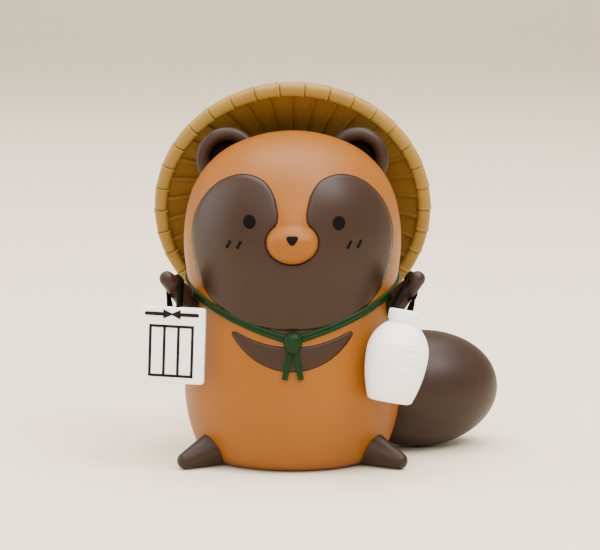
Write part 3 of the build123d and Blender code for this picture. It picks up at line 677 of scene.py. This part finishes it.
# Rows of vertices for the bead along the edge that laps over the next plate
for row in (0.33, 0.38, 0.42, 0.46):
    bmesh.ops.bisect_plane(bm, geom=everything(bm), plane_co=(0, row, 0), plane_no=(0, 1, 0))
for v in bm.verts:
    radius = HAT["flat"] + (HAT["tuck"] - HAT["flat"]) * (v.co.x + 0.5)
    angle = -math.pi / 2 + PITCH / 2 + v.co.y * PLATE["width"]
    height = (HAT["edge"] - radius) * HAT["slope"] + PLATE["lift"]
    height += PLATE["lap"] * (v.co.y + 0.5) + PLATE["thickness"] * (v.co.z + 0.5)
    if v.co.z < 0 and 0.35 < v.co.y < 0.44:
        height += PLATE["bead"]
    v.co = Vector((radius * math.cos(angle), radius * math.sin(angle), height))
copy_round(bm)
bmesh.ops.transform(bm, matrix=hat_place, verts=bm.verts)
make_piece(bm, "hat_plates_fan", plate_straw, "figure", ("hat_crown",), sharp=35)

button_section = [(0.0, 0.0), (2.9, 0.0)] + arc((2.9, 0.5), 0.5, -90, 90, 8) + [(0.0, 1.0)]
button_lift = Matrix.Translation((0, 0, (HAT["edge"] - HAT["flat"]) * HAT["slope"] + 0.2))
make_piece(
    turned(button_section, 48, hat_place @ button_lift), "hat_crown_button", plate_straw,
    "figure",
)

# %% [markdown]
# A tile of the rim is a short tube with a rounded-square section: narrow where it comes out
# from under its neighbour, with a thicker lip at the other end. A plain ring inside the tiles
# closes the gaps between them.

# %% Hat rim
RIM = {"radius": 24.15, "half_width": 1.3, "half_depth": 1.22, "points": 24, "square": 0.7}
# Along a tile: share of the pitch, and size of the section there
TILE = (
    (-0.5, 0.6), (-0.495, 0.8), (-0.465, 0.885), (-0.41, 0.925), (0.0, 0.945), (0.34, 0.955),
    (0.355, 0.96), (0.37, 1.01), (0.42, 1.03), (0.455, 1.015), (0.476, 0.95), (0.48, 0.6),
)
CORE = {"half_width": 0.9, "half_depth": 0.88, "points": 20}


def squarer(value):
    """Push a sine or cosine outwards, which turns a circle into a rounded square."""
    return math.copysign(abs(value) ** RIM["square"], value)


def lofted(bm, rings):
    """Bridge a row of closed rings of vertices and close both ends."""
    loops = [[bm.edges.new((ring[i - 1], ring[i])) for i in range(len(ring))] for ring in rings]
    for low, high in zip(loops, loops[1:]):
        bmesh.ops.bridge_loops(bm, edges=low + high)
    for ring in (rings[0], rings[-1]):
        bm.faces.new(ring)


bm = bmesh.new()
rim_angles = [2 * math.pi * i / RIM["points"] for i in range(RIM["points"])]
rings = []
for share, size in TILE:
    turn = -math.pi / 2 + share * PITCH
    ring = []
    for a in rim_angles:
        radius = RIM["radius"] + RIM["half_width"] * size * squarer(math.cos(a))
        height = RIM["half_depth"] * size * squarer(math.sin(a))
        ring.append(bm.verts.new((radius * math.cos(turn), radius * math.sin(turn), height)))
    rings.append(ring)
lofted(bm, rings)
copy_round(bm)
bmesh.ops.transform(bm, matrix=hat_place, verts=bm.verts)
make_piece(bm, "hat_rim_tiles", straw, "figure", ("hat_rim",), sharp=50)

core_section = oval(RIM["radius"], 0.0, CORE["half_width"], CORE["half_depth"], CORE["points"])
make_piece(
    turned(core_section + core_section[:1], 136, hat_place), "hat_rim_core", plate_straw,
    "figure",
)

# %% [markdown]
# The chin cord is moulded on the body as two strands side by side. Each strand is a round tube
# along a smooth curve that stays on the skin, from the knot at the front, up past the arm and
# round the back to the hat. A curve with a round bevel makes the tube; it is turned into a mesh
# so that it is a piece like the others.

# %% Chin cord
# Angle from the front, in degrees, and height
CORD_ROUTE = [
    (1.0, 24.1), (14, 25.3), (27, 26.75), (40, 28.2), (52, 29.5), (64, 30.65), (76, 31.55),
    (88, 32.3), (104, 33.9), (122, 36.9), (138, 40.2), (148, 42.4),
]
CORD = {"radius": 0.40, "lift": 0.22, "apart": 0.34}


def tube(name, points, radius, material, stands_for):
    """A round tube along a smooth curve through control points, as a mesh piece."""
    curve = bpy.data.curves.new(name, "CURVE")
    curve.dimensions = "3D"
    curve.bevel_depth = radius
    curve.bevel_resolution = 6
    curve.use_fill_caps = True
    spline = curve.splines.new("NURBS")
    spline.points.add(len(points) - 1)
    for point, place in zip(spline.points, points):
        point.co = (*place, 1.0)
    spline.order_u = 4
    spline.use_endpoint_u = True
    spline.resolution_u = 8
    holder = bpy.data.objects.new(name, curve)
    bpy.context.scene.collection.objects.link(holder)
    shaped = holder.evaluated_get(bpy.context.evaluated_depsgraph_get())
    mesh = bpy.data.meshes.new_from_object(shaped)
    bpy.data.objects.remove(holder)
    bm = bmesh.new()
    bm.from_mesh(mesh)
    bmesh.ops.remove_doubles(bm, verts=bm.verts, dist=1e-4)
    make_piece(bm, name, material, "figure", stands_for)


def on_skin(side, angle, height, shift):
    """A point of the cord's route over the skin, shifted across the cord's width."""
    turn = math.radians(angle)
    z = height + shift
    radius = skin(z)[0] + CORD["lift"]
    return Vector((side * radius * math.sin(turn), -radius * math.cos(turn), z))


for side, name in ((-1, "right"), (1, "left")):
    for number, shift in ((1, CORD["apart"]), (2, -CORD["apart"])):
        tube(
            name + "_cord_strand_" + str(number),
            [on_skin(side, a, z, shift) for a, z in CORD_ROUTE],
            CORD["radius"], green, (name + "_chin_cord",) if number == 1 else (),
        )

# %% [markdown]
# The knot is a small lump with two flat ends below it. A turned bud, pressed flat from the
# front, makes the lump; each end is a bevelled strip laid along the belly.

# %% Knot
KNOT = {"x": 0.1, "height": 23.9, "radius": 1.5, "dome": 1.6, "widen": 1.12, "flatten": 0.85}
# Each end: distance from the knot's middle line, lift off the skin, and height
CORD_END = {"top": (0.45, 0.55, 22.4), "bottom": (1.42, 0.42, 17.3), "size": (1.06, 0.6)}
knot_section = [(0.0, 0.15 + KNOT["dome"])]
for a in (math.radians(degrees) for degrees in range(12, 92, 10)):
    knot_section.append((KNOT["radius"] * math.sin(a), 0.15 + KNOT["dome"] * math.cos(a)))
knot_section += [(1.48, -0.1), (1.38, -0.7), (1.2, -1.25), (1.0, -1.7), (0.72, -2.0), (0.0, -2.1)]
knot_place = Matrix.Translation((KNOT["x"], -skin(24.0)[0] - 0.5, KNOT["height"]))
knot_place @= Matrix.Diagonal((KNOT["widen"], KNOT["flatten"], 1.0, 1.0))
make_piece(
    turned(knot_section, 40, knot_place), "knot_bud", green, "figure",
    ("cord_knot",),
)


def strip(name, top, bottom, width, thickness, material, slot):
    """A flat strip with rounded edges between two points, facing forwards."""
    along = bottom - top
    bm = bmesh.new()
    bmesh.ops.create_cube(bm, size=1.0)
    bmesh.ops.scale(bm, vec=(width, thickness, along.length), verts=bm.verts)
    round_edges(bm, bm.edges[:], thickness * 0.3, 3)
    turn = along.normalized().rotation_difference(Vector((0, 0, -1))).inverted()
    place = Matrix.Translation((top + bottom) / 2) @ turn.to_matrix().to_4x4()
    bmesh.ops.transform(bm, matrix=place, verts=bm.verts)
    make_piece(bm, name, material, "figure")


for side, name in ((-1, "right"), (1, "left")):
    top, bottom = (
        Vector((side * apart + KNOT["x"], -skin(z)[0] - lift, z))
        for apart, lift, z in (CORD_END["top"], CORD_END["bottom"])
    )
    strip(name + "_cord_end", top, bottom, *CORD_END["size"], green, "green_cord")

# %% [markdown]
# The sake bottle is turned, with a wide lip and faint rings from the potter's fingers. The
# rings show on one side only, so the lathe shape is made first and the rings are then pressed
# in by moving vertices on that side.

# %% Bottle
BOTTLE = {
    "turn": 43.5, "reach": 24.55, "height": 13.15, "lean_side": 9.8, "lean_back": 7.7,
    "foot": 3.75, "widest": (5.45, 8.5), "shoulder": (2.5, 13.95), "lip": 2.72, "top": 16.3,
}
RINGS = {"first": 1.9, "pitch": 2.35, "half_width": 0.3, "depth": 0.03, "last": 4.9}
bottle_turn = math.radians(BOTTLE["turn"])
BOTTLE_FOOT = Vector((
    BOTTLE["reach"] * math.sin(bottle_turn), -BOTTLE["reach"] * math.cos(bottle_turn),
    BOTTLE["height"],
))
lean_side, lean_back = (math.tan(math.radians(BOTTLE[k])) for k in ("lean_side", "lean_back"))
bottle_axis = Vector((lean_side, lean_back, 1)).normalized()
bottle_across = Vector((0, 1, 0)).cross(bottle_axis).normalized()


def placed(origin, x, y, z):
    """A matrix with the given origin and axes."""
    return Matrix.Translation(origin) @ Matrix((x, y, z)).transposed().to_4x4()


def round_corner(points, at, radius, count=6):
    """Round one corner of a section."""
    a, b, c = (Vector(points[at + k]) for k in (-1, 0, 1))
    one, two = (a - b).normalized() * radius, (c - b).normalized() * radius
    shares = [i / count for i in range(count + 1)]
    bend = [tuple(b + one * (1 - t) ** 2 + two * t**2) for t in shares]
    return points[:at] + bend + points[at + 1 :]


def side_arc(widest, end, count=24):
    """Arc from the widest place, where it is upright, to an end point."""
    across, along = widest[0] - end[0], end[1] - widest[1]
    size = (across**2 + along**2) / (2 * across)
    reach = math.degrees(math.asin(along / size))
    return arc((widest[0] - size, widest[1]), size, 0, reach, count)


flank = side_arc(BOTTLE["widest"], (BOTTLE["foot"], 0.0))[::-1]
bulge = side_arc(BOTTLE["widest"], BOTTLE["shoulder"])
section = [(0.0, 0.0)] + flank[:-1] + bulge + [(BOTTLE["shoulder"][0], 14.4)]
section += [(BOTTLE["lip"], 14.5), (BOTTLE["lip"], BOTTLE["top"]), (0.0, BOTTLE["top"])]
section = round_corner(section, len(section) - 2, 0.55)
section = round_corner(section, 1, 0.7)
bm = turned([(max(r, 0.0), z) for r, z in section], 128)
# More rows below the neck, for the rings
tall_edges = [e for e in bm.edges if abs(e.verts[0].co.z - e.verts[1].co.z) > 0.2]
body_edges = [e for e in tall_edges if max(v.co.z for v in e.verts) < 13.5]
bmesh.ops.subdivide_edges(bm, edges=body_edges, cuts=2)
for v in bm.verts:
    angle = math.degrees(math.atan2(v.co.y, v.co.x))
    window = smooth_step(-93, -84, angle) * (1 - smooth_step(-62, -15, angle))
    phase = (v.co.z - RINGS["first"]) / RINGS["pitch"]
    if 0 < phase < RINGS["last"]:
        off = (phase - round(phase)) * RINGS["pitch"] / RINGS["half_width"]
        v.co.xy *= 1 - RINGS["depth"] * math.exp(-(off**2)) * window
bottle_place = placed(BOTTLE_FOOT, bottle_across, bottle_axis.cross(bottle_across), bottle_axis)
bmesh.ops.transform(bm, matrix=bottle_place, verts=bm.verts)
make_piece(bm, "bottle_turned", white, "bottle", ("bottle",), sharp=50)

# %% [markdown]
# The ledger already has the right shape in the CAD part, and so do the feet and the plug under
# the base. They keep their CAD meshes and get their paint here. The ledger's face carries plain
# ruled columns, as an account book does, and above them a binding line with a small bow. Both
# are thin bars and shapes that stand up a little from the face.

# %% Ledger rules and binding
LEDGER = {
    "angle": 57.5, "reach": 25.1, "height": 22.5, "yaw": 8.0, "roll": -2.0, "top": 6.75,
    "half_thickness": 0.7,
}
# Each rule: middle across and up the face, width and height
COLUMNS = [(x, -1.0, 0.5, 8.8) for x in (-3.75, -1.25, 1.25, 3.75)]
CROSS_RULES = [(0, 3.4, 8.0, 0.5), (0, -5.4, 8.0, 0.5)]
BINDING = {"height": 5.55, "end": 4.85, "half_width": 0.32, "bow": 1.55, "bow_half_height": 0.85}
ledger_turn, yaw, roll = (math.radians(LEDGER[k]) for k in ("angle", "yaw", "roll"))
ledger_center = Vector((
    -LEDGER["reach"] * math.sin(ledger_turn), -LEDGER["reach"] * math.cos(ledger_turn),
    LEDGER["height"],
))
ledger_x = Vector((
    math.cos(roll) * math.cos(yaw), -math.cos(roll) * math.sin(yaw), math.sin(roll)
))
ledger_z = Vector((-math.sin(yaw), -math.cos(yaw), 0))
ledger_place = placed(ledger_center, ledger_x, ledger_z.cross(ledger_x), ledger_z)
bm = bmesh.new()
for x, y, wide, tall in COLUMNS + CROSS_RULES:
    made = bmesh.ops.create_cube(bm, size=1.0)["verts"]
    bmesh.ops.scale(bm, vec=(wide, tall, 0.16), verts=made)
    bmesh.ops.translate(bm, vec=(x, y, LEDGER["half_thickness"]), verts=made)
round_edges(bm, bm.edges[:], 0.04, 2)
bmesh.ops.transform(bm, matrix=ledger_place, verts=bm.verts)
make_piece(bm, "ledger_rules", ink, "ledger", sharp=40)

inner, half_width = BINDING["bow"] - 0.2, BINDING["half_width"]
line = [(inner, -half_width)]
line += arc((BINDING["end"] - half_width, 0), half_width, -90, 90, 10)
line += [(inner, half_width)]
bow = [(-0.3, 0.0)] + [(BINDING["bow"], s * BINDING["bow_half_height"]) for s in (-1, 1)]
bm = bmesh.new()
for side in (-1, 1):
    for outline in (line, bow):
        places = [
            (side * x, BINDING["height"] + y, LEDGER["half_thickness"] - 0.08) for x, y in outline
        ]
        face = bm.faces.new([bm.verts.new(place) for place in places])
        raised = bmesh.ops.extrude_face_region(bm, geom=[face])["geom"]
        upper_verts = [v for v in raised if isinstance(v, bmesh.types.BMVert)]
        bmesh.ops.translate(bm, vec=(0, 0, 0.18), verts=upper_verts)
bmesh.ops.transform(bm, matrix=ledger_place, verts=bm.verts)
make_piece(bm, "ledger_binding_line", ink, "ledger", ("ledger_binding",), sharp=40)

# %% CAD pieces that stay
CAD_FINISH = {"base_plug": orange, "ledger": white, "left_foot": brown, "right_foot": brown}
for node, finish in CAD_FINISH.items():
    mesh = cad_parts[node].data
    mesh.materials.clear()
    mesh.materials.append(finish)
    print(node, "keeps its CAD mesh:", finish.name)

# %% [markdown]
# The arms are short cones with a round tip. They are turned on a lathe as well. Beside the chin
# cord each point of the cone is drawn in towards the arm's own line until the cord has room, so
# that the cord passes in front and the arm can turn without catching it.

# %% Arms
ARM = {
    "root": (17.5396, -6.2111, 28.3), "along": (4.65, -6.2, 6.0), "root_radius": 2.3,
    "taper": 0.1, "tip": 9.4, "sunk": 1.3,
}
CORD_ROOM, CORD_REACH = 1.3, 7


def mirrored(side, point):
    """A point given for the figure's left, on either side."""
    return Vector((side * point[0], *point[1:]))


def arm_radius(distance):
    """Radius of the arm's cone at a distance from its root."""
    return ARM["root_radius"] - ARM["taper"] * distance


cone = [(0.0, -ARM["sunk"]), (ARM["root_radius"], -ARM["sunk"])]
cone += [(arm_radius(0.28 * i), 0.28 * i) for i in range(34)]
cone += arc((0.0, ARM["tip"]), arm_radius(ARM["tip"]), 5, 90, 12)
for side, name in ((-1, "right_arm"), (1, "left_arm")):
    root, along = mirrored(side, ARM["root"]), mirrored(side, ARM["along"])
    axis = along.normalized()
    place = Matrix.Translation(root) @ along.to_track_quat("Z", "Y").to_matrix().to_4x4()
    bm = turned(cone, 64, place)
    route = [on_skin(side, a, z, 0.0) for a, z in smooth_line(CORD_ROUTE[4:9], 20)]
    for v in bm.verts:
        distance = (v.co - root).dot(axis)
        middle = root + axis * distance
        if distance > CORD_REACH or (v.co - middle).length < 0.2:
            continue
        for share in (i / 20 for i in range(4, 21)):
            spot = middle.lerp(v.co, share)
            if min((spot - p).length_squared for p in route) < CORD_ROOM**2:
                v.co = middle.lerp(v.co, share - 0.05)
                break
    make_piece(bm, name + "_cone", brown, name, (name,), sharp=60)

# %% [markdown]
# Each thing hangs on a flat black strap that goes over an arm. The strap hugs the arm, which is
# a cone, so its path is worked out as the cut of a leaning plane through a slightly larger cone.
# A flat section is then carried along that path. Because the strap keeps to a cone round the
# arm's own line, it stays clear of the arm however far the thing swings.

# %% Straps
STRAP = {"width": 1.35, "thickness": 0.4, "clear": 0.1, "strand_rows": 5}
# Half of the flat section with its corners taken off, in shares of width and thickness
STRAP_HALF = [(0.5, 0.22), (0.4, 0.5), (-0.4, 0.5), (-0.5, 0.22)]
STRAP_SECTION = STRAP_HALF + [(-x, -y) for x, y in STRAP_HALF]


def strap_path(root, along, share, up, across):
    """The way over the arm, in the plane of two directions, at a share of its length."""
    axis = along.normalized()
    middle = root + along * share
    path = []
    for a in (math.radians(degrees) for degrees in range(-20, 201, 10)):
        way = across * math.cos(a) + up * math.sin(a)
        lean = way.dot(axis)
        reach = 2.0
        for _ in range(8):
            radius = arm_radius(along.length * share + reach * lean)
            gap = STRAP["clear"] + STRAP["thickness"] / 2
            reach = (radius + gap) / math.sqrt(1 - lean * lean)
        path.append(middle + way * reach)
    return path


def strap(name, side, share, front, low_front, low_back, body, stands_for):
    """A flat strap over an arm; front points to where its first strand comes down."""
    root, along = mirrored(side, ARM["root"]), mirrored(side, ARM["along"])
    axis = along.normalized()
    up = (root + along * share - (low_front + low_back) / 2).normalized()
    across = (front - up * front.dot(up)).normalized()
    normal = across.cross(up)
    if normal.dot(axis) < 0:
        normal.negate()
    path = strap_path(root, along, share, up, across)
    rows = STRAP["strand_rows"]
    points = [low_front.lerp(path[0], t / rows) for t in range(rows)] + path
    points += [path[-1].lerp(low_back, t / rows) for t in range(1, rows + 1)]
    last = len(points) - 1
    bm = bmesh.new()
    rings = []
    for i, point in enumerate(points):
        ahead = (points[min(i + 1, last)] - points[max(i - 1, 0)]).normalized()
        hug = min(1.0, i / rows, (last - i) / rows)
        broad = normal.lerp(axis, hug)
        broad = (broad - ahead * broad.dot(ahead)).normalized() * STRAP["width"]
        thin = ahead.cross(broad).normalized() * STRAP["thickness"]
        rings.append([bm.verts.new(point + broad * x + thin * y) for x, y in STRAP_SECTION])
    lofted(bm, rings)
    make_piece(bm, name, black_loop, body, stands_for, sharp=45)


ledger_top = ledger_place @ Vector((0.35, LEDGER["top"] - 0.5, 0.0))
strap(
    "ledger_strap", -1, 0.66, Vector((0.45, -0.89, 0)), ledger_top + Vector((0.75, -0.2, 0)),
    ledger_top + Vector((-0.75, 0.2, 0)), "ledger", ("ledger_loop",),
)
bottle_top = BOTTLE_FOOT + bottle_axis * (BOTTLE["top"] - 0.5)
strap(
    "bottle_strap", 1, 0.7, Vector((-0.4, -0.92, 0)), bottle_top + Vector((-2.3, -0.35, 0)),
    bottle_top + Vector((0.9, 0.9, 0)), "bottle", ("bottle_loop",),
)

# %% [markdown]
# The floor is a plain pale sheet that curves up behind the figure, as in a product photograph.
# It is a bent line drawn out sideways, in metres.

# %% Floor and backdrop
FLOOR = {"left": -2.0, "width": 4.0, "front": -1.2, "back": 1.1, "bend": 0.6, "top": 2.5}
floor_line = [(FLOOR["front"], 0.0)]
floor_line += arc((FLOOR["back"], FLOOR["bend"]), FLOOR["bend"], -90, 0, 9)
floor_line += [(FLOOR["back"] + FLOOR["bend"], FLOOR["top"])]
bm = bmesh.new()
profile(bm, [(FLOOR["left"], y, z) for y, z in floor_line])
swept = bmesh.ops.extrude_edge_only(bm, edges=bm.edges[:])["geom"]
far_side = [g for g in swept if isinstance(g, bmesh.types.BMVert)]
bmesh.ops.translate(bm, vec=(FLOOR["width"], 0, 0), verts=far_side)
for face in bm.faces:
    face.smooth = True
floor_mesh = bpy.data.meshes.new("floor")
bm.to_mesh(floor_mesh)
bm.free()
floor = bpy.data.objects.new("floor", floor_mesh)
bpy.context.scene.collection.objects.link(floor)
# Matt paper: pale and warm, so that the figure's shadow stays soft.
paper = bpy.data.materials.new("pale_backdrop_paper")
paper.use_nodes = True
paper_shader = paper.node_tree.nodes["Principled BSDF"]
paper_shader.inputs["Base Color"].default_value = linear("#e4d7bd")
paper_shader.inputs["Roughness"].default_value = 0.7
floor_mesh.materials.append(paper)
print("floor laid")

# %% [markdown]
# The light is soft and comes from large panels: a window on the left, one high on the right, one
# overhead and a wide one in front. The sheen along the mask's edge comes from the left panel.

# %% Light
LIT_POINT = Vector((0, 0, 0.03))


def panel(name, place, size, power):
    """A rectangular lamp that faces the figure."""
    lamp = bpy.data.lights.new(name, "AREA")
    lamp.shape = "RECTANGLE"
    lamp.size, lamp.size_y = size
    lamp.energy = power
    holder = bpy.data.objects.new(name, lamp)
    holder.location = place
    holder.rotation_euler = (LIT_POINT - Vector(place)).to_track_quat("-Z", "Y").to_euler()
    bpy.context.scene.collection.objects.link(holder)
    print(name, power, "W")


panel("left_panel", (-0.75, 0.1, 0.32), (0.6, 0.6), 4.0)
panel("right_panel", (0.42, -0.3, 0.66), (0.35, 0.35), 6.0)
panel("top_panel", (0.0, 0.05, 0.9), (0.9, 0.9), 20.0)
panel("front_panel", (-0.15, -1.0, 0.75), (1.2, 0.8), 12.0)
world = bpy.data.worlds.new("studio")
bpy.context.scene.world = world
world.use_nodes = True
sky = world.node_tree.nodes["Background"]
sky.inputs["Color"].default_value = linear("#f3f1ec")
sky.inputs["Strength"].default_value = 1.0

# %% [markdown]
# The camera stands half a metre away and a little above the figure, with a long lens, which is
# what the near-parallel edges in the photograph ask for.

# %% Camera
CAMERA_DISTANCE, CAMERA_RISE = 0.5, math.radians(8)
target = Vector((0.00135, 0.0, 0.033))
lens = bpy.data.cameras.new("camera")
lens.sensor_width = 36.0
lens.lens = 166.68
lens.clip_start, lens.clip_end = 0.01, 20
camera = bpy.data.objects.new("camera", lens)
away = Vector((0, -math.cos(CAMERA_RISE), math.sin(CAMERA_RISE)))
camera.location = target + CAMERA_DISTANCE * away
camera.rotation_euler = (target - camera.location).to_track_quat("-Z", "Y").to_euler()
bpy.context.scene.collection.objects.link(camera)
bpy.context.scene.camera = camera
print("camera at", [round(v, 4) for v in camera.location])
